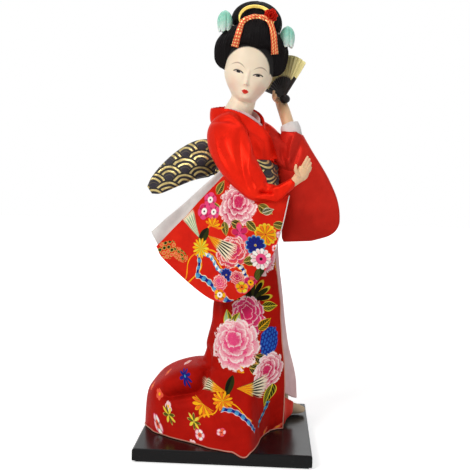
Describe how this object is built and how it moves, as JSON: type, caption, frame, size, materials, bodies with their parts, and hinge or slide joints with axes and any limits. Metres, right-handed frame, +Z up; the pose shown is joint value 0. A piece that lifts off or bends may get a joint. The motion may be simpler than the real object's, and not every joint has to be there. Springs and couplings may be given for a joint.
{
  "type": "geisha doll",
  "caption": "Display doll of a geisha in a printed red kimono with an obi bow and a folding fan, standing on a square lacquered board.",
  "frame": {"origin": "middle of the felt under the board, on the surface that the doll stands on", "axes": "+Z up, +X to the viewer's right and -Y towards the viewer when the face looks at the viewer"},
  "size_m": [0.1383, 0.1365, 0.3059],
  "materials": {
    "lacquer": "black gloss lacquer",
    "felt": "felt",
    "wire": "drawn wire",
    "peg_wood": "bare wood",
    "padding": "cotton wadding",
    "sock": "plain cloth sock",
    "red_satin": "satin",
    "printed_satin": "printed satin",
    "under_satin": "pale satin",
    "white_lining": "plain lining",
    "brocade": "black and gold brocade",
    "porcelain": "painted bisque",
    "skin": "painted",
    "hair": "combed silk floss",
    "comb_gold": "gilt",
    "ribbon": "lame ribbon",
    "pearl": "pearl",
    "pin": "ivory",
    "fan_black": "black stained",
    "fan_gold": "gold paper"
  },
  "bodies": {
    "figure": {"base_board": "lacquer", "base_felt": "felt", "leg_wire_left": "wire", "leg_wire_right": "wire", "arm_wire_left": "wire", "arm_wire_right": "wire", "neck_peg": "peg_wood", "torso_core": "padding", "train_wadding": "padding", "left_foot": "sock", "right_foot": "sock", "under_skirt": "under_satin", "kimono_skirt": "printed_satin", "lining_flap": "red_satin", "bodice": "red_satin", "collar_outer": "red_satin", "collar_inner": "white_lining", "right_sleeve": "red_satin", "right_sleeve_panel": "printed_satin", "right_sleeve_lining": "white_lining", "left_sleeve": "red_satin", "left_cuff": "white_lining", "obi": "brocade", "obi_knot": "brocade", "obi_wing_right": "brocade", "obi_wing_left": "brocade", "obi_tail": "brocade", "left_arm": "skin", "fan_guard_held": "fan_black", "fan_leaf": "fan_gold", "fan_rivet": "fan_black"},
    "head": {"head": "porcelain", "hair_cap": "hair", "hair_forelock": "hair", "hair_topknot": "hair", "hair_nape": "hair", "hair_ribbon": "ribbon", "hair_comb": "comb_gold", "hair_flower": "ribbon"},
    "hairpin_left": {"hairpin_left": "pin", "bud_left": "pearl"},
    "hairpin_right": {"hairpin_right": "pin", "bud_right": "pearl"},
    "right_hand": {"right_hand": "skin"},
    "fan_guard": {"fan_guard_free": "fan_black"},
    "fan_stick_1": {"fan_stick_1": "fan_black"},
    "fan_stick_2": {"fan_stick_2": "fan_black"},
    "fan_stick_3": {"fan_stick_3": "fan_black"},
    "fan_stick_4": {"fan_stick_4": "fan_black"},
    "fan_stick_5": {"fan_stick_5": "fan_black"},
    "fan_stick_6": {"fan_stick_6": "fan_black"}
  },
  "joints": [
    {"name": "head_turn", "type": "hinge", "parent": "figure", "child": "head", "pos_m": [0.005, 0.002, 0.226], "axis": [0.1219, 0, 0.9925], "range_deg": [-25, 12]},
    {"name": "hairpin_left_slide", "type": "slide", "parent": "head", "child": "hairpin_left", "axis": [-0.9123, -0.1668, 0.3741], "range_m": [0, 0.01]},
    {"name": "hairpin_right_slide", "type": "slide", "parent": "head", "child": "hairpin_right", "axis": [0.9895, -0.0328, 0.1406], "range_m": [0, 0.01]},
    {"name": "right_hand_twist", "type": "hinge", "parent": "figure", "child": "right_hand", "pos_m": [0.0401, -0.04, 0.1814], "axis": [0.7053, -0.2489, 0.6638], "range_deg": [-25, 25]},
    {"name": "fan_fold", "type": "hinge", "parent": "figure", "child": "fan_guard", "pos_m": [0.0345, 0.0155, 0.2412], "axis": [-0.6428, -0.766, 0], "range_deg": [0, 98], "deforming": ["fan_leaf"]},
    {"name": "fan_stick_1_fold", "type": "hinge", "parent": "figure", "child": "fan_stick_1", "pos_m": [0.0345, 0.0155, 0.2412], "axis": [-0.6428, -0.766, 0], "range_deg": [0, 84.1]},
    {"name": "fan_stick_2_fold", "type": "hinge", "parent": "figure", "child": "fan_stick_2", "pos_m": [0.0345, 0.0155, 0.2412], "axis": [-0.6428, -0.766, 0], "range_deg": [0, 70.1]},
    {"name": "fan_stick_3_fold", "type": "hinge", "parent": "figure", "child": "fan_stick_3", "pos_m": [0.0345, 0.0155, 0.2412], "axis": [-0.6428, -0.766, 0], "range_deg": [0, 56.1]},
    {"name": "fan_stick_4_fold", "type": "hinge", "parent": "figure", "child": "fan_stick_4", "pos_m": [0.0345, 0.0155, 0.2412], "axis": [-0.6428, -0.766, 0], "range_deg": [0, 42.1]},
    {"name": "fan_stick_5_fold", "type": "hinge", "parent": "figure", "child": "fan_stick_5", "pos_m": [0.0345, 0.0155, 0.2412], "axis": [-0.6428, -0.766, 0], "range_deg": [0, 28.1]},
    {"name": "fan_stick_6_fold", "type": "hinge", "parent": "figure", "child": "fan_stick_6", "pos_m": [0.0345, 0.0155, 0.2412], "axis": [-0.6428, -0.766, 0], "range_deg": [0, 14.1]}
  ],
  "couplings": [
    {"joint": "fan_stick_1_fold", "follows": "fan_fold", "ratio": 0.85714},
    {"joint": "fan_stick_2_fold", "follows": "fan_fold", "ratio": 0.71429},
    {"joint": "fan_stick_3_fold", "follows": "fan_fold", "ratio": 0.57143},
    {"joint": "fan_stick_4_fold", "follows": "fan_fold", "ratio": 0.42857},
    {"joint": "fan_stick_5_fold", "follows": "fan_fold", "ratio": 0.28571},
    {"joint": "fan_stick_6_fold", "follows": "fan_fold", "ratio": 0.14286}
  ]
}
